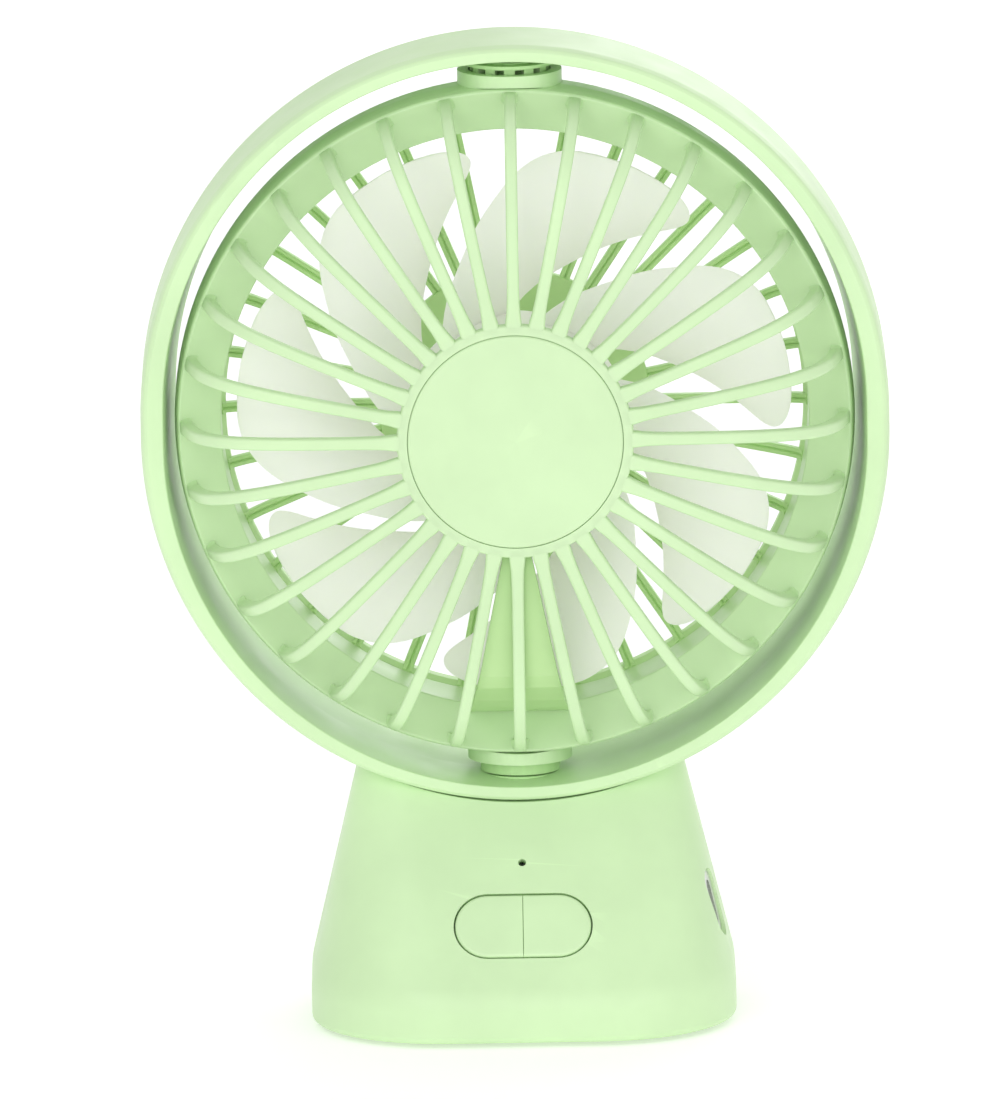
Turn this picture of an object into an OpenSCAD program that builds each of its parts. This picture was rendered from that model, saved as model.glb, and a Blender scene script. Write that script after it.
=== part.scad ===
// Small desk fan. A round fan head swivels about a vertical axis inside an upright
// ring, which stands on a tapered base with the battery, the boards and the swivel drive.
// Axes: +X to the right, +Y to the back, +Z up. Origin: centre of the base on the floor.
// All sizes are in millimetres.

/* [Base] */
// Width of the base at the floor
base_w = 75; // [73:0.5:77]
// Depth of the base at the floor
base_d = 65; // [64:0.2:66]
// Plan corner radius of the base at the floor
base_corner = 24; // [22:0.5:25]
// Height of the upright band at the foot of the base
foot_band = 8.5; // [7:0.5:9]
// Inward lean of the two sides, mm per mm of height
side_lean = 0.235; // [0.23:0.001:0.24]
// Lean of the front and back faces, mm per mm of height
face_lean = 0.641; // [0.635:0.001:0.645]
// Wall thickness of the base shell
base_wall = 2; // [1.8:0.1:2.2]

/* [Ring] */
// Height of the ring's centre above the floor
ring_z = 107.6; // [107:0.1:108]
// Half width of the ring outside
ring_hw = 65.8; // [65.6:0.1:66.5]
// Half height of the ring outside
ring_hh = 67.5; // [67.4:0.1:68]
// Half width of the ring's opening
open_hw = 60.9; // [60.8:0.1:61.2]
// Half height of the ring's opening
open_hh = 64; // [63.9:0.1:64.1]
// Depth of the ring, front to back
ring_d = 25.4; // [25:0.2:26]
// How much the opening flares at the front lip
lip_flare = 0.9; // [0.6:0.1:1]

/* [Fan head] */
// Largest radius of the head's shell
head_r = 60; // [59.9:0.1:60.2]
// Inner radius of the air duct
duct_r = 51.7; // [51.5:0.1:52]
// Number of ribs in the front grille and in the rear grille
rib_count = 32; // [24:1:36]
// Width of a front rib
front_rib_w = 2.1; // [1.8:0.1:2.4]
// Width of a rear rib
rear_rib_w = 1.8; // [1.5:0.1:2]
// Radius of the plate at the middle of the front grille
hub_plate_r = 20.8; // [20.5:0.1:22]

/* [Impeller] */
// Number of blades
blade_count = 7; // [5:1:8]
// Tip radius of the blades
tip_r = 49.2; // [46:0.1:49.3]
// Radius of the impeller's hub
hub_r = 19.6; // [19:0.1:20]
// Blade thickness
blade_t = 1.1; // [1:0.1:1.4]

/* [Buttons] */
// Length of the pair of buttons
pill_l = 23.9; // [22:0.1:25]
// Height of the pair of buttons along the face
pill_h = 11.6; // [11:0.1:12]

/* [Swivel drive] */
// Gear module
gear_m = 0.8; // [0.8:0.05:0.85]
// Teeth on the gear of the head's shaft
gear_teeth = 24; // [24:2:26]
// Teeth on the motor's pinion
pinion_teeth = 12; // [12:1:12]
// Direction from the head's shaft to the motor, degrees
mesh_angle = 166; // [164:1:168]

/* [Hidden] */
$fn = 96;

mint = [0.80, 0.97, 0.72];
mint_deep = [0.66, 0.88, 0.54];
frost = [0.93, 0.96, 0.90];
dark = [0.16, 0.17, 0.18];
steel = [0.72, 0.73, 0.75];
bronze = [0.72, 0.55, 0.33];
board_green = [0.10, 0.35, 0.22];

eps = 0.02;                    // slack between pieces fixed to each other
slip = 0.06;                   // radial play of a running fit
cut = 1;                       // how far a cutter runs past the face it cuts

// Base
base_hw = base_w / 2;
base_hd = base_d / 2;
foot_gap = 0.8;                // how far the pads hold the base off the floor
shell_top = 48;                // height to which the tapered body is drawn
lean_angle = atan(face_lean);
cover_t = 2.2;
cover_top = foot_gap + cover_t;

// Ring
ring_hd = ring_d / 2;
saddle_wall = 2.2;
rear_draft = 1.2;              // how much the opening narrows towards the back

// Head
rim_y = -9;                    // front edge of the head's rim
duct_front = -5.5;             // front edge of the air duct
shell_y = -7.15;               // where the rear shell starts
sleeve_end = 8;
rear_rib_y = 10;
rear_y = 12.2;                 // back of the rear ribs
shell_back = 13.4;             // back edge of the rear shell
hub_y = -28;                   // front face of the grille's hub plate
hub_plate_t = 2.2;
cap_r = 18.9;

// Pivots
collar_r = 9.2;
collar_low = 55.6;             // inner end of each collar, from the head's centre
collar_high = 61.6;            // outer end of each collar, from the head's centre
upper_pin_r = 3;
upper_bush_r = 4.2;
shaft_r = 4;
shaft_neck_r = 3;
wire_bore_r = 2;
disc_r = 7;
disc_bottom = 43.8;
disc_top = ring_z - collar_high;
bush_r = 5.2;
bush_flange_z = 42.4;
bush_flange_t = 1.1;

// Swivel drive
gear_low = 30.2;
gear_t = 2.8;
gear_r = gear_m * gear_teeth / 2;
pinion_r = gear_m * pinion_teeth / 2;
mesh_gap = 0.12;
centre_dist = gear_r + pinion_r + mesh_gap;
swivel_can_r = 10;
swivel_can_low = 13.2;
swivel_can_high = 26;
pinion_shaft_r = 1.5;
ear_reach = 14;
ear_angles = [150, 270];

// Buttons
button_z = 20.45;
led_z = 30.5;
split_gap = 0.16;              // gap between the two halves
pill_gap = 0.3;                // slot round each button
skin = base_wall;              // wall thickness along the face's normal
button_proud = 0.35;
flange_top = -(skin + 0.15);
flange_t = 0.9;
stem_r = 1.9;
stem_end = -5.1;
switch_x = 5.9;
board_front = -8;
board_t = 1.0;
led_up = (led_z - button_z) / cos(lean_angle);

// USB inlet
usb_y = -9.2;
usb_z = 21;
usb_turn = 10;                 // the port follows the curve of the side
usb_w = 8.9;
usb_h = 3.2;
usb_recess_w = 12.4;
usb_recess_h = 6;
usb_depth = 0.8;               // front of the port below the surface
usb_len = 7.3;
bezel_t = 0.6;

// Cover screws
screw_boss_x = 29.5;
screw_boss_y = 16;
ring_screw_x = 15;
ring_seat_z = 38.6;
board_screw_x = 8.4;
board_screw_y = 8.9;

// Fan motor
can_r = 12.3;
can_front = -25;
can_back = -13;
spindle_r = 1;
housing_r = 14.3;
housing_flange_r = 17.6;
housing_screw_r = 16;
housing_seat = -24.2;          // back face of the housing's flange

// ---------- helpers ----------

function face_y(z) = -(base_hd - (z - foot_band) * face_lean);

// Rounded rectangle, half sizes hw and hd
module round_rect(hw, hd, r) {
    square([2 * (hw - r), 2 * hd], center = true);
    square([2 * hw, 2 * (hd - r)], center = true);
    for (sx = [-1, 1])
        for (sy = [-1, 1])
            translate([sx * (hw - r), sy * (hd - r)]) circle(r);
}

// Two half turns of a profile of [radius, y] points, with a straight stretch between them
module tall_turn(points, stretch) {
    for (s = [-1, 1])
        translate([0, 0, ring_z + s * stretch])
            rotate([-90, 0, 0]) rotate_extrude($fn = 180) polygon(points);
    translate([0, 0, ring_z - stretch])
        linear_extrude(2 * stretch)
            polygon(concat(points, [for (i = [len(points) - 1 : -1 : 0]) [-points[i][0], points[i][1]]]));
}

// Draws on the right-hand side: local X down the side, local Z outwards
module on_side(z) {
    translate([base_hw - (z - foot_band) * side_lean - 0.3, usb_y, z])
        rotate([0, 0, -usb_turn])
            rotate([0, 90 - atan(side_lean), 0]) children();
}

// Draws on the leaning front face: local Y up the face, local Z outwards
module on_face(z) {
    translate([0, face_y(z), z]) rotate([90 - lean_angle, 0, 0]) children();
}

// Revolves a profile of [radius, y] points about the head's Y axis
module spin_y(points) {
    translate([0, 0, ring_z]) rotate([-90, 0, 0]) rotate_extrude() polygon(points);
}

// Cylinder along Y, on the head's axis
module rod_y(r, y0, y1) {
    translate([0, y0, ring_z]) rotate([-90, 0, 0]) cylinder(h = y1 - y0, r = r);
}

// Upright cylinder between two heights
module post(r, z0, z1) {
    translate([0, 0, z0]) cylinder(h = z1 - z0, r = r);
}

// Tapered body of the base, drawn in by inset
module base_body(inset) {
    rise = shell_top - foot_band;
    top_hw = base_hw - rise * side_lean - inset;
    top_hd = base_hd - rise * face_lean - inset / cos(lean_angle);
    top_corner = top_hd - 0.1;
    translate([0, 0, foot_gap - (inset > 0 ? cut : 0)])
        linear_extrude(foot_band - foot_gap + (inset > 0 ? cut : 0))
            round_rect(base_hw - inset, base_hd - inset, base_corner - inset);
    hull() {
        translate([0, 0, foot_band - eps])
            linear_extrude(eps)
                round_rect(base_hw - inset, base_hd - inset, base_corner - inset);
        translate([0, 0, shell_top - eps])
            linear_extrude(eps)
                round_rect(top_hw, top_hd, top_corner);
    }
}

// Everything that the ring's outside would fill, grown by grow
module ring_solid(grow, half_depth) {
    tall_turn([[0, -half_depth], [ring_hw + grow, -half_depth], [ring_hw + grow, half_depth], [0, half_depth]],
              ring_hh - ring_hw);
}

// Pill outline for the two buttons, half length hl and radius r
module pill(hl, r) {
    for (s = [-1, 1])
        translate([s * (hl - r), 0]) circle(r);
    square([2 * (hl - r), 2 * r], center = true);
}

// ---------- base ----------

module base_shell() {
    color(mint)
    difference() {
        union() {
            difference() {
                base_body(0);
                difference() {
                    base_body(base_wall);
                    ring_solid(saddle_wall, base_hd);
                }
            }
            for (sx = [-1, 1])
                for (sy = [-1, 1])
                    translate([sx * screw_boss_x, sy * screw_boss_y, 0]) {
                        post(3, cover_top + eps, 13);
                        translate([sx < 0 ? -5.5 : 0, -0.75, cover_top + eps]) cube([5.5, 1.5, 7]);
                    }
            for (s = [-1, 1])
                translate([s * ring_screw_x, 0, 0]) post(3, ring_seat_z, 43);
            for (s = [-1, 1])
                on_face(button_z)
                    translate([s * board_screw_x, board_screw_y, board_front + eps])
                        cylinder(h = -board_front - 1, r = 1.7);
            on_side(usb_z) translate([-9, 3, -7]) cube([12, 1.2, 6]);
        }
        ring_solid(0.04, base_hd + cut);
        on_face(button_z)
            translate([0, 0, -skin - 1.2])
                linear_extrude(skin + 3) pill(pill_l / 2 + pill_gap, pill_h / 2 + pill_gap);
        on_face(led_z) translate([0, 0, -skin - 1.2]) cylinder(h = skin + 3, r = 0.7, $fn = 24);
        on_side(usb_z)
            translate([0, 0, -skin - 1.2]) linear_extrude(skin + 3) pill(usb_recess_w / 2, usb_recess_h / 2);
        post(bush_r + eps, 30, 50);
        for (s = [-1, 1])
            translate([s * ring_screw_x, 0, 0]) post(1.2, 30, 50);
        for (sx = [-1, 1])
            for (sy = [-1, 1])
                translate([sx * screw_boss_x, sy * screw_boss_y, 0]) post(1.02, 0, 10);
        for (s = [-1, 1])
            on_face(button_z)
                translate([s * board_screw_x, board_screw_y, board_front - cut])
                    cylinder(h = 5, r = 0.62, $fn = 24);
    }
}

module base_cover() {
    color(mint_deep)
    difference() {
        union() {
            translate([0, 0, foot_gap])
                linear_extrude(cover_t)
                    round_rect(base_hw - base_wall - eps, base_hd - base_wall - eps, base_corner - base_wall);
            for (a = ear_angles)
                at_ear(a) post(2.6, cover_top - eps, swivel_can_high - 1.2 - eps);
        }
        for (sx = [-1, 1])
            for (sy = [-1, 1]) {
                translate([sx * screw_boss_x, sy * screw_boss_y, 0]) post(1.2, 0, 5);
                translate([sx * screw_boss_x, sy * screw_boss_y, 0]) post(2.25, 0, 2.1);
                translate([sx * 22, sy * 17.5, 0]) post(4.02, 0, 1.6);
            }
        for (a = ear_angles)
            at_ear(a) post(0.92, 16, 30);
    }
}

module foot_pads() {
    color(dark)
    for (sx = [-1, 1])
        for (sy = [-1, 1])
            translate([sx * 22, sy * 17.5, 0]) post(4, 0, 1.58);
}

module cover_screws() {
    color(steel)
    for (sx = [-1, 1])
        for (sy = [-1, 1])
            translate([sx * screw_boss_x, sy * screw_boss_y, 0])
                screw(2.2, 1.25, 1, 7, 2.08);
}

// Screw pointing up: pan head under seat_z, shank above it
module screw(head_r, head_h, shank_r, shank_l, seat_z) {
    difference() {
        post(head_r, seat_z - head_h, seat_z);
        for (a = [0, 90])
            rotate([0, 0, a])
                translate([-head_r * 0.6, -0.2, seat_z - head_h - cut]) cube([head_r * 1.2, 0.4, cut + 0.5]);
    }
    post(shank_r, seat_z - eps, seat_z + shank_l);
}

// ---------- ring ----------

module ring_frame() {
    r = ring_hw;
    h = ring_hd;
    color(mint)
    difference() {
        tall_turn([[0, -h], [r - 1.2, -h], [r - 0.7, -h + 0.2], [r - 0.3, -h + 0.6], [r - 0.1, -h + 1.2],
                   [r, -h + 2.4], [r, h - 4], [r - 0.3, h - 1.8], [r - 0.9, h], [0, h]], ring_hh - ring_hw);
        tall_turn([[0, -h - cut], [open_hw + lip_flare, -h - cut], [open_hw + lip_flare, -h], [open_hw, -h + 7],
                   [open_hw, 1], [open_hw - rear_draft, h], [open_hw - rear_draft, h + cut], [0, h + cut]],
                  open_hh - open_hw);
        post(bush_r + eps, 30, 50);
        post(disc_r + 0.2, bush_flange_z, 50);
        for (s = [-1, 1])
            translate([s * ring_screw_x, 0, 0]) post(1.02, 30, ring_seat_z + 5.2);
        translate([0, 0, ring_z]) post(3.02, 60, 66);
    }
}

module ring_screws() {
    color(steel)
    for (s = [-1, 1])
        translate([s * ring_screw_x, 0, 0]) screw(2.3, 1.3, 1, 5, ring_seat_z - eps);
}

module upper_pivot_pin() {
    teeth = 12;
    color(mint_deep)
    translate([0, 0, ring_z])
    union() {
        post(3, 63.1, 65.9);
        post(5.5, 63.1, 63.4);
        post(7.9, 62.6, 63.15);
        post(upper_pin_r, 56.5, 63);
        difference() {
            post(6.9, 60.9, 62.7);
            post(5.4, 60, 62.65);
            for (i = [0 : teeth - 1])
                rotate([0, 0, (i + 0.5) * 360 / teeth])
                    translate([4.9, -0.85, 60]) cube([3, 1.7, 2.3]);
        }
    }
}

module lower_bush() {
    color(bronze)
    difference() {
        union() {
            post(bush_r, 37.4, bush_flange_z + 0.1);
            post(disc_r, bush_flange_z + eps, bush_flange_z + bush_flange_t);
        }
        post(shaft_r + slip, 30, 50);
    }
}

// ---------- swivel drive ----------

module at_motor() {
    rotate([0, 0, mesh_angle]) translate([centre_dist, 0, 0]) children();
}

module at_ear(a) {
    at_motor() rotate([0, 0, a - mesh_angle]) translate([ear_reach, 0, 0]) children();
}

module swivel_motor() {
    color(steel)
    difference() {
        union() {
            at_motor() post(swivel_can_r, swivel_can_low, swivel_can_high);
            at_motor() post(3.6, swivel_can_high - eps, swivel_can_high + 1.4);
            for (a = ear_angles) {
                at_ear(a) post(2.8, swivel_can_high - 1.2, swivel_can_high);
                at_motor()
                    rotate([0, 0, a - mesh_angle])
                        translate([0, -2, swivel_can_high - 1.2]) cube([ear_reach, 4, 1.2]);
            }
        }
        at_motor() post(pinion_shaft_r + slip, 19.8, 40);
        for (a = ear_angles)
            at_ear(a) post(1.1, 20, 30);
    }
}

module motor_mount_screws() {
    color(steel)
    for (a = ear_angles)
        at_ear(a)
            translate([0, 0, 2 * swivel_can_high])
                mirror([0, 0, 1]) screw(1.8, 1.1, 0.9, 6, swivel_can_high - eps);
}

function involute(rb, t) = [rb * (cos(t) + t * PI / 180 * sin(t)), rb * (sin(t) - t * PI / 180 * cos(t))];
function turn(p, a) = [p[0] * cos(a) - p[1] * sin(a), p[0] * sin(a) + p[1] * cos(a)];
function flip(p) = [p[0], -p[1]];
function roll_at(rb, r) = sqrt(pow(r / rb, 2) - 1) * 180 / PI;

// Spur gear outline with a tooth centred on +X
module gear_2d(teeth) {
    pressure = 25;
    pitch = gear_m * teeth / 2;
    rb = pitch * cos(pressure);
    tip = pitch + 0.88 * gear_m;
    root = pitch - 1.12 * gear_m;
    backlash = 0.1;
    half = 90 / teeth - backlash / 2 / pitch * 180 / PI;
    at_pitch = involute(rb, roll_at(rb, pitch));
    lead = atan2(at_pitch[1], at_pitch[0]) + half;
    start = roll_at(rb, max(root, rb));
    stop = roll_at(rb, tip);
    steps = 6;
    flank = [for (i = [0 : steps]) turn(flip(involute(rb, start + (stop - start) * i / steps)), lead)];
    foot = root < rb ? [turn([root, 0], lead)] : [];
    tooth = concat([for (p = foot) flip(p)], [for (p = flank) flip(p)],
                   [for (i = [0 : steps]) flank[steps - i]], foot);
    circle(root + 0.05);
    for (k = [0 : teeth - 1])
        rotate([0, 0, k * 360 / teeth]) polygon(concat([[root / 2, 0]], tooth));
}

module swivel_gear() {
    color(frost)
    difference() {
        translate([0, 0, gear_low])
            rotate([0, 0, mesh_angle])
                linear_extrude(gear_t) gear_2d(gear_teeth);
        post(shaft_neck_r + eps, 20, 40);
    }
}

module swivel_pinion() {
    color(bronze)
    difference() {
        at_motor()
            translate([0, 0, gear_low - 0.3])
                rotate([0, 0, 180 / pinion_teeth + (pinion_teeth % 2) * 180 / pinion_teeth])
                    linear_extrude(gear_t + 0.6) gear_2d(pinion_teeth);
        at_motor() post(pinion_shaft_r + eps, 20, 40);
    }
}

module pinion_shaft() {
    color(steel)
    at_motor() post(pinion_shaft_r, 20, gear_low + gear_t + 0.5);
}

module pivot_shaft() {
    color(mint)
    difference() {
        union() {
            post(disc_r, disc_bottom, disc_top - eps);
            post(shaft_r, gear_low + gear_t + 0.05, disc_top + 4.4);
            post(shaft_neck_r, 28.6, gear_low + gear_t + 0.1);
        }
        post(wire_bore_r, 20, 60);
        difference() {
            post(shaft_neck_r + cut, 29.3, 30.1);
            post(2.45, 29, 31);
        }
    }
}

module shaft_clip() {
    color(steel)
    difference() {
        post(4.8, 29.35, 30.05);
        post(2.5, 29, 31);
        translate([0, 0, 29]) rotate([0, 0, -90]) translate([0, -1.6, 0]) cube([6, 3.2, 2]);
    }
}

// ---------- boards, battery, inlet ----------

module main_board() {
    on_side(usb_z)
    translate([0, usb_h / 2 + 0.1, 0]) {
        color(board_green) translate([-9, 0, -19]) cube([13, 1.2, 16.5]);
        color(dark) translate([-6, 1.2 - eps, -16]) cube([5, 1.4, 5]);
        color(steel) translate([-1, -2.6 + eps, -17]) cube([4, 2.6, 4]);
    }
}

module usb_socket() {
    color(steel)
    on_side(usb_z)
    translate([0, 0, -usb_depth - usb_len])
    difference() {
        union() {
            linear_extrude(usb_len) pill(usb_w / 2, usb_h / 2);
            translate([0, 0, usb_len - bezel_t])
                linear_extrude(bezel_t) pill(usb_recess_w / 2 - 0.05, usb_recess_h / 2 - 0.05);
        }
        difference() {
            translate([0, 0, 1]) linear_extrude(usb_len) pill(usb_w / 2 - 0.3, usb_h / 2 - 0.3);
            translate([-3.2, -0.35, 0]) cube([6.4, 0.7, usb_len - 0.8]);
        }
    }
}

module switch_board() {
    color(board_green)
    on_face(button_z)
    difference() {
        translate([-10.5, -7, board_front - board_t]) cube([21, 21.4, board_t]);
        for (s = [-1, 1])
            translate([s * board_screw_x, board_screw_y, board_front - 2])
                cylinder(h = 3, r = 0.75, $fn = 24);
    }
}

module tact_switches() {
    color(dark)
    on_face(button_z)
    for (s = [-1, 1])
        translate([s * switch_x, 0, board_front + eps]) {
            translate([-2.25, -2.25, 0]) cube([4.5, 4.5, 1.4]);
            cylinder(h = 1.9, r = 1.1);
        }
}

module board_screws() {
    color(steel)
    on_face(button_z)
    for (s = [-1, 1])
        translate([s * board_screw_x, board_screw_y, 0])
            screw(1.3, 0.8, 0.6, 4, board_front - board_t - eps);
}

module led_lamp() {
    color(frost)
    on_face(button_z)
    translate([0, led_up, board_front + eps]) {
        cylinder(h = 1, r = 1.9);
        cylinder(h = 3.6, r = 1.5);
        translate([0, 0, 3.6]) sphere(1.5);
    }
}

module battery_cell() {
    color("silver")
    translate([-8, -15, 4.2]) {
        cube([33, 34, 8]);
        translate([-2, 8, 3]) cube([2.1, 17, 2]);
    }
}

module battery_pad() {
    color(dark) translate([-6, -13, cover_top + eps]) cube([29, 30, 1.16]);
}

// ---------- fan head ----------

// Side outline of one front rib: flat from the hub plate, then bent back to the rim
function rib_outline() = [[20, hub_y], [32, hub_y], [43, hub_y + 0.7], [49.5, hub_y + 2.3], [53.9, hub_y + 5.1],
                          [56.5, hub_y + 8.8], [58, hub_y + 13.4], [58.9, hub_y + 17.6], [58.9, rim_y + 0.5],
                          [56.8, rim_y + 1.2], [56.2, hub_y + 13.6], [54.4, hub_y + 9.7], [51.8, hub_y + 6.7],
                          [48.4, hub_y + 4.6], [42.8, hub_y + 3], [32, hub_y + 2.3], [20, hub_y + hub_plate_t]];

// Cuts from radius low outwards, where the two pivot collars stand in the shell
module collar_room() {
    for (s = [-1, 1])
        translate([0, 0, ring_z + s * (collar_low - 0.05) - (s < 0 ? 10 : 0)])
            cylinder(h = 10, r = collar_r + 0.05);
}

module front_grille() {
    color(mint)
    difference() {
        union() {
            spin_y([[duct_r, duct_front], [59, rim_y + 0.05], [59.2, rim_y + 0.15], [59.32, rim_y + 0.4],
                    [59.54, shell_y - 0.05], [57.6, shell_y - 0.05], [53.2, duct_front + 1],
                    [53.2, sleeve_end], [duct_r, sleeve_end]]);
            rod_y(hub_plate_r, hub_y, hub_y + hub_plate_t);
            for (k = [0 : rib_count - 1])
                translate([0, 0, ring_z])
                    rotate([0, k * 360 / rib_count, 0])
                        translate([-front_rib_w / 2, 0, 0])
                            rotate([0, 0, 90]) rotate([90, 0, 0])
                                linear_extrude(front_rib_w)
                                    polygon([for (p = rib_outline()) [p[1], p[0]]]);
        }
        rod_y(cap_r + 0.1, hub_y - cut, hub_y + 0.9);
        for (a = [90, 210, 330])
            at_housing_screw(a) cylinder(h = 2.6, r = 0.92, $fn = 32);
    }
}

module hub_cap() {
    color(mint)
    spin_y([[0, hub_y - 0.5], [cap_r - 0.9, hub_y - 0.4], [cap_r - 0.2, hub_y - 0.15], [cap_r, hub_y + 0.2],
            [cap_r, hub_y + 0.88], [0, hub_y + 0.88]]);
}

module rear_grille() {
    color(mint_deep)
    difference() {
        union() {
            spin_y([[58, shell_y], [59.54, shell_y], [59.9, -3], [59.9, 2], [58.3, 6.6],
                    [56.2, 10], [54.6, shell_back - 0.9], [53.8, shell_back - 0.1], [53.3, shell_back],
                    [51.6, shell_back], [51, shell_back - 0.5], [51, rear_rib_y - 0.3],
                    [duct_r, sleeve_end + 0.1], [53.3, sleeve_end + 0.1], [56.4, 4.9], [57.8, 2], [58, -2]]);
            spin_y([[0, rear_rib_y + 0.6], [9, rear_rib_y + 0.6], [9, rear_rib_y - 0.4], [24, rear_rib_y - 0.4],
                    [24, rear_y], [0, rear_y]]);
            for (k = [0 : rib_count - 1])
                translate([0, 0, ring_z])
                    rotate([0, k * 360 / rib_count, 0])
                        translate([-rear_rib_w / 2, rear_rib_y, 23])
                            cube([rear_rib_w, rear_y - rear_rib_y - 0.2, 29]);
        }
        collar_room();
    }
}

// Room that the front grille takes up where a collar passes it
module rim_room() {
    spin_y([[0, hub_y], [59.56, hub_y], [59.56, shell_y], [57.64, shell_y], [53.22, duct_front + 1.03],
            [0, duct_front + 1.03]]);
}

// Pivot block clamped between the two shells of the head
module upper_collar() {
    color(mint)
    difference() {
        translate([0, 0, ring_z])
        difference() {
            post(collar_r, collar_low, collar_high);
            post(7.3, 58.2, collar_high + cut);
            post(upper_bush_r + eps, collar_low - cut, 60);
        }
        rim_room();
    }
}

module upper_bush() {
    color(bronze)
    translate([0, 0, ring_z])
    difference() {
        union() {
            post(upper_bush_r, collar_low, 58.3);
            post(5.2, 58.22, 59);
        }
        post(upper_pin_r + slip, collar_low - cut, 60);
    }
}

module lower_collar() {
    color(mint)
    difference() {
        translate([0, 0, ring_z])
        difference() {
            post(collar_r, -collar_high, -collar_low);
            post(shaft_r + eps, -collar_high - cut, -collar_high + 4.5);
            post(wire_bore_r, -collar_high - cut, -collar_low + cut);
        }
        rim_room();
    }
}

// Side outline of the cable channel behind the front ribs, from the hub plate to the duct
function channel_front() = [[19.5, -25.6], [32, -25.5], [38, -25.1], [42.5, -24.6], [44.8, -23.2],
                            [48, -18.6], [50.6, -12.6], [52.3, -6.4]];
function channel_back() = [[50.1, -6.6], [48, -13], [45.6, -18], [43.4, -21.2], [41, -22.6], [19.5, -22.8]];

module cable_cover() {
    color(mint_deep)
    intersection() {
        translate([0, 0, ring_z])
            difference() {
                translate([-10, 0, 0])
                    rotate([90, 0, 90])
                        linear_extrude(20)
                            polygon([for (p = concat(channel_front(), channel_back())) [p[1], -p[0]]]);
                translate([-1.2, -24.3, -42]) cube([2.4, 3, 24]);
            }
        translate([0, 0, ring_z])
            rotate([90, 0, 0])
                linear_extrude(40)
                    polygon([[-2.1, -19], [2.1, -19], [9.2, -54], [-9.2, -54]]);
    }
}

module motor_housing() {
    color(mint)
    difference() {
        spin_y([[can_r + 0.05, can_back + 1], [housing_r, can_back + 1], [housing_r, housing_seat],
                [housing_flange_r, housing_seat], [housing_flange_r, can_front - 0.78],
                [can_r - 2, can_front - 0.78], [can_r - 2, can_front - 0.05],
                [can_r + 0.05, can_front - 0.05]]);
        for (a = [90, 210, 330])
            at_housing_screw(a) cylinder(h = 10, r = 1.05, center = true, $fn = 32);
    }
}

module at_housing_screw(a) {
    translate([0, housing_seat, ring_z])
        rotate([0, a, 0])
            translate([0, 0, housing_screw_r])
                rotate([90, 0, 0]) children();
}

module motor_housing_screws() {
    color(steel)
    for (a = [90, 210, 330])
        at_housing_screw(a) screw(1.6, 1.1, 0.9, 2.4, -eps);
}

module fan_motor() {
    color(steel)
    difference() {
        union() {
            rod_y(can_r, can_front, can_back);
            rod_y(4, can_back - eps, can_back + 2);
        }
        rod_y(2.42, can_back - 1, can_back + 3);
        rod_y(spindle_r + 0.3, can_front + 0.8, can_back + 3);
    }
}

module motor_bush() {
    color(bronze)
    difference() {
        rod_y(2.4, can_back - 0.98, can_back + 2);
        rod_y(spindle_r + slip, can_back - 2, can_back + 3);
    }
}

// ---------- impeller ----------

blade_r0 = hub_r - 0.8;        // blade root, just inside the hub's wall
blade_slices = 14;
blade_chords = 10;

sweep_rate = 1.51;             // degrees of sweep per mm of radius
sweep_end = 44;                // radius from which the sweep flattens
blade_half_angle = 20.2;

// Blade sweep: middle of the blade at radius r, degrees clockwise from the top
function blade_mid(r) = sweep_rate * (min(r, sweep_end) - 28.7) + 0.5 * max(0, r - sweep_end);
// Half the blade's angular width at radius r, closing in an arc at the tip
function blade_half(r) = blade_half_angle * tip_factor(r);
function tip_factor(r) = r < round_r ? 1 : sqrt(max(0, 1 - pow((r - round_r) / (tip_r - round_r), 2)));
round_r = tip_r - 6.5;
// Middle of the blade along Y at radius r
function blade_y(r) = -11 + 9.2 * (r - hub_r) / (tip_r - hub_r);
// How far the blade reaches along Y on each side of its middle
function blade_rise(r) = 5.2 - 2.4 * (r - hub_r) / (tip_r - hub_r);
function slice_r(i) = i < blade_slices - 4 ? blade_r0 + (round_r - blade_r0) * i / (blade_slices - 4)
                    : round_r + (tip_r - 0.05 - round_r) * sin(90 * (i - blade_slices + 4) / 4);
function blade_point(i, j, side) =
    let (r = slice_r(i), w = 2 * j / blade_chords - 1, a = blade_mid(r) + w * blade_half(r),
         bow = 1.1 * (1 - w * w))
    [r * sin(a), blade_y(r) + w * blade_rise(r) - bow + side * blade_t / 2, r * cos(a)];

module blade() {
    n = blade_chords + 1;
    m = blade_slices + 1;
    pts = [for (side = [-1, 1]) for (i = [0 : blade_slices]) for (j = [0 : blade_chords])
               blade_point(i, j, side)];
    low = [for (i = [0 : blade_slices - 1]) for (j = [0 : blade_chords - 1])
               [(i + 1) * n + j, (i + 1) * n + j + 1, i * n + j + 1, i * n + j]];
    high = [for (f = low) [f[3] + m * n, f[2] + m * n, f[1] + m * n, f[0] + m * n]];
    rim = concat([for (j = [0 : blade_chords]) j],
                 [for (i = [1 : blade_slices]) i * n + blade_chords],
                 [for (j = [1 : blade_chords]) blade_slices * n + blade_chords - j],
                 [for (i = [1 : blade_slices - 1]) (blade_slices - i) * n]);
    k = len(rim);
    edge = [for (e = [0 : k - 1]) [rim[(e + 1) % k] + m * n, rim[e] + m * n, rim[e], rim[(e + 1) % k]]];
    polyhedron(points = pts, faces = concat(low, high, edge), convexity = 4);
}

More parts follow.
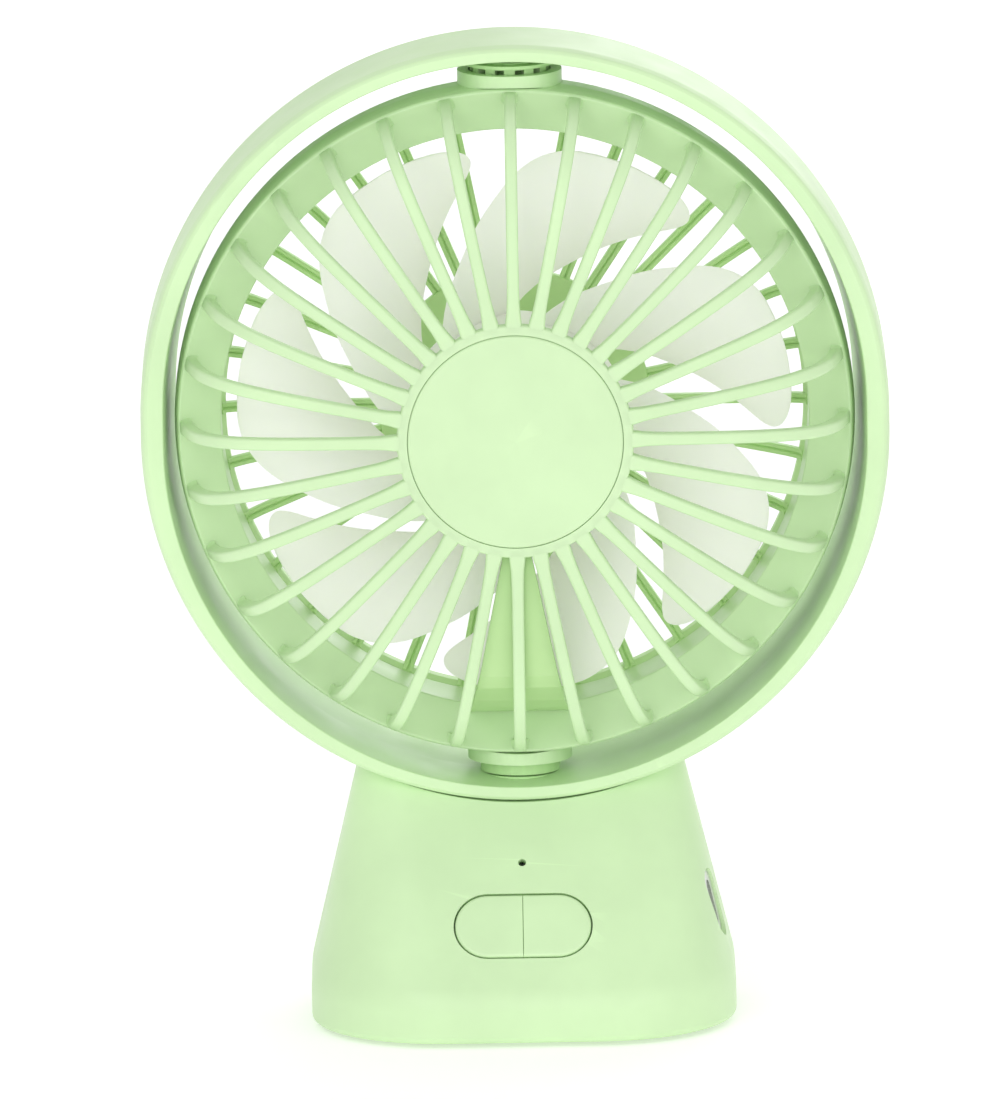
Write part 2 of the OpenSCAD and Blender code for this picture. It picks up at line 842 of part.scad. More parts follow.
module fan_blades() {
    color(frost)
    difference() {
        union() {
            spin_y([[0, -5], [hub_r - 1.4, -5], [hub_r - 0.4, -5.4], [hub_r, -6.4], [hub_r, -20.6],
                    [hub_r - 1.6, -20.6], [hub_r - 1.6, -7], [3.4, -7], [3.4, -10.4], [0, -10.4]]);
            for (k = [0 : blade_count - 1])
                translate([0, 0, ring_z]) rotate([0, k * 360 / blade_count, 0]) blade();
        }
        rod_y(spindle_r + eps, -20, -5.9);
    }
}

module motor_shaft() {
    color(steel) rod_y(spindle_r, can_front + 1.2, -6);
}

// ---------- buttons ----------

module button_half(side) {
    on_face(button_z) {
        intersection() {
            union() {
                translate([0, 0, flange_top - eps])
                    linear_extrude(button_proud - flange_top + eps) pill(pill_l / 2, pill_h / 2);
                translate([0, 0, flange_top - flange_t])
                    linear_extrude(flange_t) pill(pill_l / 2 + 0.9, pill_h / 2 + 0.9);
            }
            translate([side > 0 ? split_gap / 2 : -20 - split_gap / 2, -10, -10]) cube([20, 20, 20]);
        }
        translate([side * switch_x, 0, stem_end])
            cylinder(h = flange_top - flange_t - stem_end + eps, r = stem_r);
    }
}

module speed_button() {
    color(mint) button_half(1);
}

module swivel_button() {
    color(mint) button_half(-1);
}

base_shell();
base_cover();
foot_pads();
cover_screws();
ring_frame();
ring_screws();
upper_pivot_pin();
lower_bush();
swivel_motor();
motor_mount_screws();
main_board();
usb_socket();
switch_board();
tact_switches();
board_screws();
led_lamp();
battery_cell();
battery_pad();
front_grille();
hub_cap();
rear_grille();
upper_collar();
lower_collar();
upper_bush();
cable_cover();
motor_housing();
motor_housing_screws();
fan_motor();
motor_bush();
pivot_shaft();
swivel_gear();
shaft_clip();
fan_blades();
motor_shaft();
swivel_pinion();
pinion_shaft();
speed_button();
swivel_button();
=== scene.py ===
import math

import bmesh
import bpy
from mathutils import Matrix, Vector


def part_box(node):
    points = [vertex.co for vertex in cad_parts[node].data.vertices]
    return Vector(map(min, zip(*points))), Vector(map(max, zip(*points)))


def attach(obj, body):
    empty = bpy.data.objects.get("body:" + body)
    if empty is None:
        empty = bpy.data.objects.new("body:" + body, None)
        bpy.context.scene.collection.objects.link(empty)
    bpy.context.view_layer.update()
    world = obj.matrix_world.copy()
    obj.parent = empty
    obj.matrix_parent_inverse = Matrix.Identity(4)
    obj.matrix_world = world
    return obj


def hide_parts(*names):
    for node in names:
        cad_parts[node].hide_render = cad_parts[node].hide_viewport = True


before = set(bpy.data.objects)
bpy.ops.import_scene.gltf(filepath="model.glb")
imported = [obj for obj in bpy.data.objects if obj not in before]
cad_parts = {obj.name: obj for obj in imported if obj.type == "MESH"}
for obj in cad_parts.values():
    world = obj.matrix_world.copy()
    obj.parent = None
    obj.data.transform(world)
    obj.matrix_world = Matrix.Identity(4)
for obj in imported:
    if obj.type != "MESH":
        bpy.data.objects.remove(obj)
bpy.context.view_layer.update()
scene = bpy.context.scene
MM = 0.001

# ------------------------------------------------ sizes from the CAD model, in millimetres


def cad(node):
    """Lowest and highest corner of a CAD node in millimetres."""
    low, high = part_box(node)
    return [c / MM for c in low], [c / MM for c in high]


ring_low, ring_high = cad("ring_frame")
shell_low, shell_high = cad("base_shell")
RING_Z = 107.6                      # centre of the ring and the head
RING_HW = (ring_high[0] - ring_low[0]) / 2
RING_HH = 67.5
RING_HD = (ring_high[1] - ring_low[1]) / 2
OPEN_HW = 60.9
OPEN_HH = 64.0
REAR_DRAFT = 1.2
LIP_FLARE = 0.9

BASE_HW = (shell_high[0] - shell_low[0]) / 2
BASE_HD = (shell_high[1] - shell_low[1]) / 2
BASE_CORNER = 24.0
BASE_BOTTOM = shell_low[2]
BAND_Z = 8.5
BAND_SOFT = 2.2                     # the band runs this softly into the taper
SHELL_TOP = 48.0
SIDE_LEAN = 0.235
FACE_LEAN = 0.641
WALL = 2.0
SADDLE_GAP = 2.2                    # from the ring down to the hollow of the base
SEAT_GAP = 0.05                     # from the ring to the base it stands in
PLUG_HALF_D = 50                    # deeper than the base, so the cut goes right through
LEAN = math.atan(FACE_LEAN)

BUTTON_Z = 20.45
LED_Z = 30.5
PILL_L = 23.9
PILL_H = 11.6
PILL_GAP = 0.3                      # slot round each button
SPLIT_GAP = 0.03                    # between the two halves
BUTTON_PROUD = 0.35
FLANGE_TOP = -2.15
FLANGE_T = 0.9
FLANGE_RIM = 0.9                    # how far the flange reaches past the cap
STEM_END = -5.1
STEM_X = 5.9
STEM_R = 1.9
LED_HOLE_R = 0.7
SHAFT_HOLE_R = 5.2
CUT_DEPTH = -3.4                    # how deep the holes in the base's faces are cut
CUT_ABOVE = 3.0                     # how far their cutters stand out of the face

USB_Z = 21.0
USB_Y = -9.2
USB_TURN = 10.0
PORT_HALF_L = 6.2
PORT_HALF_H = 3.0
PORT_INSET = 0.3                    # how far the rounded side falls back beside the port

HUB_Y = -28.0
HUB_R = 20.8
CAP_R = 18.9
DUCT_R = 51.7
RIM_Y = -9.0
SHELL_Y = -7.15
REAR_RIB_Y = 10.0
REAR_Y = 12.2
SHELL_BACK = 13.4
OUTER_WALL_R = 53.6                 # outside this the shell has the colour of the front
RIBS = 32
FRONT_RIB_W = 2.1
FRONT_RIB_T = 2.2
REAR_RIB_W = 1.8
REAR_RIB_T = 2.1
REAR_DISC_Y = REAR_Y - 0.02         # back of the disc in the middle of the rear grille

BLADES = 7
BLADE_HUB_R = 19.6
HUB_FRONT_Y = -20.58
HUB_BACK_Y = -5.02
HUB_WALL_R = BLADE_HUB_R - 1.6
TIP_R = 49.2

# ------------------------------------------------ mesh helpers


def make(name, verts, faces, sharp=32.0):
    """A mesh object from points in millimetres, smooth except at edges sharper than the angle."""
    mesh = bpy.data.meshes.new(name)
    mesh.from_pydata([Vector(v) * MM for v in verts], [], faces)
    obj = bpy.data.objects.new(name, mesh)
    scene.collection.objects.link(obj)
    tidy(obj, sharp)
    return obj


def tidy(obj, sharp=32.0):
    """Merges doubles, turns faces outwards and sets smooth shading."""
    bm = bmesh.new()
    bm.from_mesh(obj.data)
    bmesh.ops.remove_doubles(bm, verts=bm.verts, dist=0.002 * MM)
    bmesh.ops.recalc_face_normals(bm, faces=bm.faces)
    bm.to_mesh(obj.data)
    bm.free()
    obj.data.shade_smooth()
    obj.data.set_sharp_from_angle(angle=math.radians(sharp))


def bake_modifiers(obj, sharp=32.0):
    """Replaces the mesh by what its modifiers make of it."""
    deps = bpy.context.evaluated_depsgraph_get()
    mesh = bpy.data.meshes.new_from_object(obj.evaluated_get(deps))
    obj.modifiers.clear()
    obj.data = mesh
    obj.data.shade_smooth()
    obj.data.set_sharp_from_angle(angle=math.radians(sharp))


def boolean(obj, tool):
    """Cuts another mesh out, which is then removed."""
    mod = obj.modifiers.new("cut", "BOOLEAN")
    mod.object = tool
    mod.operation = "DIFFERENCE"
    mod.solver = "EXACT"
    bake_modifiers(obj)
    bpy.data.objects.remove(tool, do_unlink=True)


def add_bevel(obj, width, angle):
    """A modifier that rounds the edges sharper than the angle."""
    mod = obj.modifiers.new("soft", "BEVEL")
    mod.width = width * MM
    mod.segments = 2
    mod.limit_method = "ANGLE"
    mod.angle_limit = math.radians(angle)


def soften(obj, width, angle, sharp=50.0):
    """Rounds the edges that are sharper than the angle, for good."""
    add_bevel(obj, width, angle)
    bake_modifiers(obj, sharp)


def join(name, parts):
    """One object from several."""
    bm = bmesh.new()
    for part in parts:
        bm.from_mesh(part.data)
    mesh = bpy.data.meshes.new(name)
    bm.to_mesh(mesh)
    bm.free()
    obj = bpy.data.objects.new(name, mesh)
    scene.collection.objects.link(obj)
    for part in parts:
        bpy.data.objects.remove(part, do_unlink=True)
    obj.data.shade_smooth()
    obj.data.set_sharp_from_angle(angle=math.radians(36))
    return obj


def even_normals(obj):
    """Lets the large flat faces decide the shading where they meet small rounded ones."""
    mod = obj.modifiers.new("even", "WEIGHTED_NORMAL")
    mod.keep_sharp = True
    mod.weight = 60


def fillet(points, steps):
    """Closed outline of (a, b, radius) corners with each corner rounded by its radius."""
    out = []
    count = len(points)
    for i in range(count):
        p = Vector(points[i][:2])
        radius = points[i][2] if len(points[i]) > 2 else 0
        if radius <= 0:
            out.append(tuple(p))
            continue
        before = Vector(points[i - 1][:2]) - p
        after = Vector(points[(i + 1) % count][:2]) - p
        half = before.angle(after) / 2
        reach = min(radius / math.tan(half), before.length * 0.49, after.length * 0.49)
        radius = reach * math.tan(half)
        middle = (before.normalized() + after.normalized()).normalized()
        centre = p + middle * (radius / math.sin(half))
        start = p + before.normalized() * reach - centre
        stop = p + after.normalized() * reach - centre
        angle = start.angle(stop)
        turn = 1 if start.x * stop.y - start.y * stop.x > 0 else -1
        for k in range(steps + 1):
            a = turn * angle * k / steps
            c, s = math.cos(a), math.sin(a)
            out.append((centre.x + start.x * c - start.y * s, centre.y + start.x * s + start.y * c))
    return out


def grid_faces(rows, columns, close_rows=True, close_columns=True):
    """Quads over a grid of points laid out row by row."""
    faces = []
    for i in range(rows if close_rows else rows - 1):
        for j in range(columns if close_columns else columns - 1):
            a, b = i * columns + j, i * columns + (j + 1) % columns
            c, d = ((i + 1) % rows) * columns + (j + 1) % columns, ((i + 1) % rows) * columns + j
            faces.append((a, b, c, d))
    return faces


def end_caps(rings, count):
    """The first and the last ring of a loft as faces."""
    last = (rings - 1) * count
    return [tuple(reversed(range(count))), tuple(range(last, last + count))]


def revolve(name, profile, steps=192):
    """A closed profile of (radius, y) turned about the head's front-to-back axis."""
    verts = []
    for i in range(steps):
        a = 2 * math.pi * i / steps
        for r, y in profile:
            verts.append((r * math.sin(a), y, RING_Z + r * math.cos(a)))
    return make(name, verts, grid_faces(steps, len(profile)))


def prism(name, outline, low, high, place):
    """A closed outline in local X, Y between two local heights, put in place by a matrix."""
    count = len(outline)
    verts = [place @ Vector((x, y, z)) for z in (low, high) for x, y in outline]
    faces = end_caps(2, count)
    faces += [(i, (i + 1) % count, count + (i + 1) % count, count + i) for i in range(count)]
    return make(name, verts, faces)


def pill_outline(half_length, radius, steps):
    """Stadium outline, long along X."""
    out = []
    for side in (1, -1):
        for k in range(steps + 1):
            a = -math.pi / 2 + math.pi * k / steps
            out.append((side * (half_length - radius + radius * math.cos(a)),
                        side * radius * math.sin(a)))
    return out


def circle(radius, steps, x=0.0):
    """Points round a circle whose centre lies on local X."""
    angles = [2 * math.pi * k / steps for k in range(steps)]
    return [(x + radius * math.cos(a), radius * math.sin(a)) for a in angles]


def face_y(z):
    """Where the leaning front face is at height z."""
    return -(BASE_HD - (z - BAND_Z) * FACE_LEAN)


def on_face(z):
    """Local Y up the front face, local Z outwards."""
    return Matrix.Translation((0, face_y(z), z)) @ Matrix.Rotation(math.pi / 2 - LEAN, 4, "X")


def on_side(z):
    """Local X down the right-hand side, local Z outwards."""
    x = BASE_HW - (z - BAND_Z) * SIDE_LEAN - PORT_INSET
    turn = Matrix.Rotation(math.radians(-USB_TURN), 4, "Z")
    tilt = Matrix.Rotation(math.pi / 2 - math.atan(SIDE_LEAN), 4, "Y")
    return Matrix.Translation((x, USB_Y, z)) @ turn @ tilt


# ------------------------------------------------ materials


def node_material(name):
    mat = bpy.data.materials.new(name)
    mat.use_nodes = True
    tree = mat.node_tree
    shader = next(n for n in tree.nodes if n.type == "BSDF_PRINCIPLED")
    return mat, tree, shader


def noise(tree, coord, scale, detail=3.0, rough=0.5):
    tex = tree.nodes.new("ShaderNodeTexNoise")
    tex.inputs["Scale"].default_value = scale
    tex.inputs["Detail"].default_value = detail
    tex.inputs["Roughness"].default_value = rough
    tree.links.new(coord, tex.inputs["Vector"])
    return tex.outputs["Fac"]


def ramp(tree, source, low, high, a, b):
    """Maps a value in low..high onto a..b."""
    node = tree.nodes.new("ShaderNodeMapRange")
    node.inputs["From Min"].default_value = low
    node.inputs["From Max"].default_value = high
    node.inputs["To Min"].default_value = a
    node.inputs["To Max"].default_value = b
    tree.links.new(source, node.inputs["Value"])
    return node.outputs["Result"]


def blend_colour(tree, factor, first, second):
    node = tree.nodes.new("ShaderNodeMix")
    node.data_type = "RGBA"
    tree.links.new(factor, node.inputs["Factor"])
    for socket, value in ((node.inputs[6], first), (node.inputs[7], second)):
        if isinstance(value, tuple):
            socket.default_value = (*value, 1)
        else:
            tree.links.new(value, socket)
    return node.outputs[2]


def shade(colour, k):
    """A colour made lighter or darker."""
    return tuple(min(1.0, c * k) for c in colour)


def moulded(name, colour, rough, grain=0.012, scatter=0.0, wear=1.1, vary=0.05, coat=0.0,
            glass=0.0):
    """Moulded plastic: faint blotches, a fine spark-eroded grain and lighter rubbed edges."""
    mat, tree, shader = node_material(name)
    coord = tree.nodes.new("ShaderNodeTexCoord").outputs["Object"]
    blotch = noise(tree, coord, 34, 4, 0.6)
    body = blend_colour(tree, ramp(tree, blotch, 0.35, 0.65, 0, 1),
                        shade(colour, 1 - vary), shade(colour, 1 + vary * 0.5))
    edge = tree.nodes.new("ShaderNodeNewGeometry").outputs["Pointiness"]
    rub = ramp(tree, edge, 0.53, 0.62, 0, 0.6)
    body = blend_colour(tree, rub, body, shade(colour, wear))
    tree.links.new(body, shader.inputs["Base Color"])
    sheen = ramp(tree, noise(tree, coord, 160, 5, 0.55), 0.3, 0.7, rough - 0.05, rough + 0.06)
    tree.links.new(sheen, shader.inputs["Roughness"])
    bump = tree.nodes.new("ShaderNodeBump")
    bump.inputs["Strength"].default_value = 0.35
    bump.inputs["Distance"].default_value = grain * MM
    tree.links.new(noise(tree, coord, 2600, 2, 0.5), bump.inputs["Height"])
    tree.links.new(bump.outputs["Normal"], shader.inputs["Normal"])
    shader.inputs["IOR"].default_value = 1.46
    if scatter:
        shader.inputs["Subsurface Weight"].default_value = scatter
        shader.inputs["Subsurface Radius"].default_value = (1.0, 1.1, 0.8)
        shader.inputs["Subsurface Scale"].default_value = 1.6 * MM
    if coat:
        shader.inputs["Coat Weight"].default_value = coat
        shader.inputs["Coat Roughness"].default_value = 0.2
    if glass:
        shader.inputs["Transmission Weight"].default_value = glass
    return mat


def metal(name, colour, rough, lines):
    """Drawn or plated metal with fine lines and rubbed edges."""
    mat, tree, shader = node_material(name)
    coord = tree.nodes.new("ShaderNodeTexCoord").outputs["Object"]
    stretch = tree.nodes.new("ShaderNodeMapping")
    stretch.inputs["Scale"].default_value = (1, 1, 14)
    tree.links.new(coord, stretch.inputs["Vector"])
    grain = noise(tree, stretch.outputs["Vector"], lines, 3, 0.6)
    body = blend_colour(tree, ramp(tree, grain, 0.35, 0.65, 0, 1),
                        shade(colour, 0.86), shade(colour, 1.05))
    edge = tree.nodes.new("ShaderNodeNewGeometry").outputs["Pointiness"]
    body = blend_colour(tree, ramp(tree, edge, 0.53, 0.6, 0, 0.7), body, shade(colour, 1.2))
    tree.links.new(body, shader.inputs["Base Color"])
    sheen = ramp(tree, grain, 0.3, 0.7, rough - 0.08, rough + 0.1)
    tree.links.new(sheen, shader.inputs["Roughness"])
    shader.inputs["Metallic"].default_value = 1.0
    bump = tree.nodes.new("ShaderNodeBump")
    bump.inputs["Strength"].default_value = 0.25
    bump.inputs["Distance"].default_value = 0.01 * MM
    tree.links.new(grain, bump.inputs["Height"])
    tree.links.new(bump.outputs["Normal"], shader.inputs["Normal"])
    return mat


MINT = (0.64, 0.855, 0.505)
MINT_REAR = (0.60, 0.86, 0.41)
MINT_PIVOT = (0.58, 0.84, 0.42)
FROST = (0.97, 0.965, 0.91)

mat_mint = moulded("mint_satin", MINT, rough=0.42, scatter=0.08)
# Painted shade: the same mint as the ring, darkened by 5% for the head's parts and the outside of
# the rear shell.
mat_head_shaded = moulded("mint_head_painted_shade", shade(MINT, 0.95), rough=0.40, scatter=0.08)
mat_button = moulded("mint_button", MINT, rough=0.36, grain=0.006, wear=1.08)
mat_rear = moulded("mint_rear", MINT_REAR, rough=0.46, scatter=0.05)
# Painted shade: the rear grille's mint, darkened by a fifth for the cable cover that sits inside
# the head.
mat_channel_shaded = moulded("mint_channel_painted_shade", shade(MINT_REAR, 0.8), rough=0.48, scatter=0.05)
mat_pivot = moulded("mint_pivot", MINT_PIVOT, rough=0.5)
mat_cover = moulded("mint_cover", shade(MINT, 0.94), rough=0.5, grain=0.02)
mat_frost = moulded("frosted_blade", FROST, rough=0.48, grain=0.008, scatter=0.2, wear=1.02,
                    vary=0.015)
mat_gear = moulded("bare_moulding", (0.85, 0.86, 0.80), rough=0.35)
mat_lens = moulded("lamp_lens", (0.55, 0.74, 0.50), rough=0.2, grain=0.002, glass=0.3)
mat_black = moulded("black_moulding", (0.03, 0.032, 0.035), rough=0.5, wear=1.6, vary=0.15)
mat_rubber = moulded("foot_rubber", (0.045, 0.045, 0.048), rough=0.8, grain=0.03, wear=1.5,
                     vary=0.2)
mat_board = moulded("solder_resist", (0.02, 0.13, 0.06), rough=0.3, grain=0.004, vary=0.2,
                    coat=0.4)
mat_steel = metal("plated_steel", (0.62, 0.63, 0.65), 0.32, 900)
mat_can = metal("motor_can", (0.55, 0.56, 0.58), 0.38, 600)
mat_port = metal("port_shell", (0.66, 0.69, 0.64), 0.42, 400)
mat_bronze = metal("sintered_bronze", (0.55, 0.38, 0.2), 0.5, 2200)
mat_foil = metal("cell_foil", (0.6, 0.61, 0.63), 0.45, 220)


def paint(obj, mat):
    """Gives a whole object one material."""
    if not obj.data.materials:
        obj.data.materials.append(mat)
    for entry in obj.material_slots:
        entry.material = mat


def fit(obj, body, mat, slot, *nodes):
    """Finishes a piece: material, body and the CAD nodes it stands for; the slot is not used."""
    paint(obj, mat)
    even_normals(obj)
    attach(obj, body)
    if nodes:
        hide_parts(*nodes)


# ------------------------------------------------ ring


def tall_loop(name, section, steps=160):
    """Section points (radius, y, stretch) taken round two half circles and two straights."""
    angles = [math.pi * (-0.5 + k / steps) for k in range(steps + 1)]
    verts = []
    for sign in (1, -1):
        for a in angles:
            for r, y, stretch in section:
                verts.append((sign * r * math.sin(a), y,
                              RING_Z + sign * (stretch + r * math.cos(a))))
    return make(name, verts, grid_faces(2 * len(angles), len(section)))


def ring_section():
    """The ring's section, from the flared front lip round to the draft at the back."""
    outer = RING_HH - RING_HW
    inner = OPEN_HH - OPEN_HW
    front, back = -RING_HD, RING_HD
    corners = [(RING_HW - 1.2, front, 0.3), (RING_HW - 0.4, front + 0.5, 1.1),
               (RING_HW, front + 2.4, 2.2), (RING_HW, back - 4, 4), (RING_HW - 0.9, back, 0.7),
               (OPEN_HW + 0.02 - REAR_DRAFT, back, 0.5), (OPEN_HW + 0.02, 1, 8),
               (OPEN_HW + LIP_FLARE, front, 0.35)]
    out = []
    for r, y in fillet(corners, 4):
        share = min(1.0, max(0.0, (r - OPEN_HW) / (RING_HW - OPEN_HW)))
        share = share * share * (3 - 2 * share)
        out.append((r, y, inner + (outer - inner) * share))
    return out


ring = tall_loop("ring", ring_section())
fit(ring, "stand", mat_mint, "mint_plastic", "ring_frame")

# ------------------------------------------------ base


def base_outline(z, inset, steps=20):
    """Rounded rectangle of the base at height z."""
    rise = max(0.0, z - BAND_Z)
    if abs(z - BAND_Z) < BAND_SOFT:
        rise = (z - BAND_Z + BAND_SOFT) ** 2 / (4 * BAND_SOFT)
    share = rise / (SHELL_TOP - BAND_Z)
    hw = BASE_HW - rise * SIDE_LEAN
    hd = BASE_HD - rise * FACE_LEAN
    top_corner = BASE_HD - (SHELL_TOP - BAND_Z) * FACE_LEAN - 0.1
    corner = BASE_CORNER + (top_corner - BASE_CORNER) * share
    hw, hd, corner = hw - inset, hd - inset, max(1.0, corner - inset)
    out = []
    for quarter, (sx, sy) in enumerate(((1, 1), (-1, 1), (-1, -1), (1, -1))):
        for k in range(steps + 1):
            a = math.pi / 2 * (quarter + k / steps)
            out.append((sx * (hw - corner) + corner * math.cos(a),
                        sy * (hd - corner) + corner * math.sin(a)))
    return out


def base_loft(name, levels):
    """Levels of (z, inset) joined into a closed body."""
    verts, count = [], 0
    for z, inset in levels:
        outline = base_outline(z, inset)
        count = len(outline)
        verts += [(x, y, z) for x, y in outline]
    faces = grid_faces(len(levels), count, close_rows=False)
    faces += end_caps(len(levels), count)
    return make(name, verts, faces)


def spread(low, high, count):
    """Evenly spaced numbers, both ends included."""
    return [low + (high - low) * k / (count - 1) for k in range(count)]


foot_r = 1.3
edge_levels = [(BASE_BOTTOM + foot_r * (1 - math.cos(a)), foot_r * (1 - math.sin(a)))
               for a in spread(0, math.pi / 2, 7)]
side_z = (spread(2.6, BAND_Z - BAND_SOFT, 3) + spread(BAND_Z - 1.6, BAND_Z + BAND_SOFT, 8)
          + spread(13, SHELL_TOP, 16))
base = base_loft("base", edge_levels + [(z, 0.0) for z in side_z])


def ring_plug(name, grow, steps=96):
    """Everything inside the ring's outside, grown by grow."""
    stretch = RING_HH - RING_HW
    radius = RING_HW + grow
    outline = []
    for sign in (1, -1):
        for k in range(steps + 1):
            a = math.pi * (-0.5 + k / steps)
            outline.append((sign * radius * math.sin(a), sign * (stretch + radius * math.cos(a))))
    return prism(name, outline, -PLUG_HALF_D, PLUG_HALF_D,
                 Matrix.Translation((0, 0, RING_Z)) @ Matrix.Rotation(math.pi / 2, 4, "X"))


hollow_z = ([BASE_BOTTOM - 1, 4] + spread(BAND_Z - 1.6, BAND_Z + BAND_SOFT, 5)
            + spread(14, SHELL_TOP, 8))
hollow = base_loft("hollow", [(z, WALL + 0.2) for z in hollow_z])
boolean(hollow, ring_plug("saddle", SADDLE_GAP))
boolean(base, hollow)
boolean(base, ring_plug("seat", SEAT_GAP))
holes = (
    ("pill_hole", pill_outline(PILL_L / 2 + PILL_GAP, PILL_H / 2 + PILL_GAP, 24),
     on_face(BUTTON_Z)),
    ("port_hole", pill_outline(PORT_HALF_L, PORT_HALF_H, 20), on_side(USB_Z)),
    ("led_hole", circle(LED_HOLE_R, 32), on_face(LED_Z)),
)
for hole_name, outline, place in holes:
    boolean(base, prism(hole_name, outline, CUT_DEPTH, CUT_ABOVE, place))
boolean(base, prism("shaft_hole", circle(SHAFT_HOLE_R, 48), 30, 50, Matrix.Identity(4)))
soften(base, width=0.22, angle=42)
fit(base, "stand", mat_mint, "mint_plastic", "base_shell")

# ------------------------------------------------ buttons


def half_pill(name, side):
    """One half of the pill-shaped button: a crowned cap, its flange and stem."""
    place = on_face(BUTTON_Z)
    rounding = 0.55
    steps = 28
    rings = [(0.0, FLANGE_TOP), (0.0, BUTTON_PROUD - rounding)]
    rings += [(rounding * (1 - math.cos(a)), BUTTON_PROUD - rounding * (1 - math.sin(a)) - 0.06)
              for a in spread(0.2, math.pi / 2, 5)]
    rings += [(1.6, BUTTON_PROUD - 0.03), (3.2, BUTTON_PROUD)]
    parts = []
    verts, count = [], 0
    for inset, height in rings:
        half_l, r = PILL_L / 2 - inset, PILL_H / 2 - inset
        flat = SPLIT_GAP / 2 + min(inset, rounding) * 0.12
        outline = [(side * flat, -side * r)]
        outline += [(side * (half_l - r + r * math.cos(a)), side * r * math.sin(a))
                    for a in spread(-math.pi / 2, math.pi / 2, steps)]
        outline += [(side * flat, side * r)]
        count = len(outline)
        verts += [place @ Vector((x, y, height)) for x, y in outline]
    faces = grid_faces(len(rings), count, close_rows=False)
    faces += end_caps(len(rings), count)
    parts.append(make(name + "_cap", verts, faces))
    half_l, r = PILL_L / 2 + FLANGE_RIM, PILL_H / 2 + FLANGE_RIM
    flange = [(side * SPLIT_GAP / 2, -side * r)]
    flange += [(side * (half_l - r + r * math.cos(a)), side * r * math.sin(a))
               for a in spread(-math.pi / 2, math.pi / 2, steps)]
    flange += [(side * SPLIT_GAP / 2, side * r)]
    parts.append(prism(name + "_flange", flange, FLANGE_TOP - FLANGE_T, FLANGE_TOP, place))
    stem = circle(STEM_R, 32, side * STEM_X)
    parts.append(prism(name + "_stem", stem, STEM_END, FLANGE_TOP - FLANGE_T / 2, place))
    return join(name, parts)


fit(half_pill("button_right", 1), "speed_key", mat_button, "mint_plastic", "speed_button")
fit(half_pill("button_left", -1), "swivel_key", mat_button, "mint_plastic", "swivel_button")

# ------------------------------------------------ front grille


def catmull(points, per):
    """Smooth path through points."""
    pts = [Vector(p) for p in points]
    pts = [2 * pts[0] - pts[1]] + pts + [2 * pts[-1] - pts[-2]]
    out = []
    for i in range(1, len(pts) - 2):
        for k in range(per):
            t = k / per
            a, b, c, d = pts[i - 1], pts[i], pts[i + 1], pts[i + 2]
            out.append(0.5 * ((2 * b) + (c - a) * t + (2 * a - 5 * b + 4 * c - d) * t * t
                              + (3 * b - a - 3 * c + d) * t ** 3))
    out.append(pts[-2])
    return out


def rib_bar(name, path, width, thick, angle, edge, groove=0.0):
    """A bar of rounded section along a path of (radius, y).

    Width and thick are functions of the radius and of the share of the path run through.
    """
    verts, count = [], 0
    ca, sa = math.cos(angle), math.sin(angle)
    for i, p in enumerate(path):
        ahead, behind = path[min(i + 1, len(path) - 1)], path[max(i - 1, 0)]
        tangent = (ahead - behind).normalized()
        normal = Vector((-tangent.y, tangent.x))    # towards +Y for a path that runs outwards
        share = i / (len(path) - 1)
        w, t = width(p.x, share) / 2, thick(p.x, share)
        corners = [(-w, 0, edge), (-w, t, edge * 0.4), (w, t, edge * 0.4), (w, 0, edge)]
        if groove:
            corners = [(-w, 0, edge), (-w, t, edge * 0.4), (w, t, edge * 0.4), (w, 0, edge),
                       (0.28 * w, 0, 0.1), (0.0, groove, 0), (-0.28 * w, 0, 0.1)]
        section = fillet(corners, 3)
        count = len(section)
        for across, deep in section:
            r = p.x + normal.x * deep
            y = p.y + normal.y * deep
            verts.append((r * sa + across * ca, y, RING_Z + r * ca - across * sa))
    faces = grid_faces(len(path), count, close_rows=False)
    faces += end_caps(len(path), count)
    return make(name, verts, faces, 40)


rib_path = catmull([(19.6, HUB_Y + 0.05), (26, HUB_Y), (34, HUB_Y + 0.02), (43, HUB_Y + 0.7),
                    (49.5, HUB_Y + 2.35), (53.8, HUB_Y + 5.2), (56.4, HUB_Y + 8.9),
                    (57.9, HUB_Y + 13.4), (58.75, HUB_Y + 17.4), (58.9, RIM_Y + 0.6)], 4)


def rib_width(r, share):
    hub_flare = 0.95 * math.exp(-max(0.0, r - HUB_R + 0.3) / 2.2)
    rim_flare = 1.0 * max(0.0, (share - 0.9) / 0.1) ** 2
    return FRONT_RIB_W + hub_flare + rim_flare


def rib_depth(_, share):
    return FRONT_RIB_T if share < 0.9 else FRONT_RIB_T - 0.2


front_parts = [rib_bar("rib", rib_path, rib_width, rib_depth, 2 * math.pi * k / RIBS, edge=0.55)
               for k in range(RIBS)]
front_parts.append(revolve("rim", fillet([
    (DUCT_R, -5.5, 0.5), (59.0, RIM_Y + 0.02, 0.35), (59.35, RIM_Y + 0.55, 0.3),
    (59.52, SHELL_Y - 0.06, 0.1), (57.6, SHELL_Y - 0.06, 0.1), (53.2, -4.5, 0.5),
    (53.2, 8, 0.2), (DUCT_R, 8, 0.2)], 4)))
front_parts.append(revolve("hub_plate", fillet([
    (0.01, HUB_Y + 0.95), (CAP_R + 0.06, HUB_Y + 0.95, 0.05), (CAP_R + 0.06, HUB_Y + 0.02, 0.1),
    (HUB_R - 0.1, HUB_Y + 0.02, 0.5), (HUB_R, HUB_Y + 2.18, 0.3), (0.01, HUB_Y + 2.18)], 4)))
front = join("grille_front", front_parts)
fit(front, "head", mat_head_shaded, "mint_plastic", "front_grille")

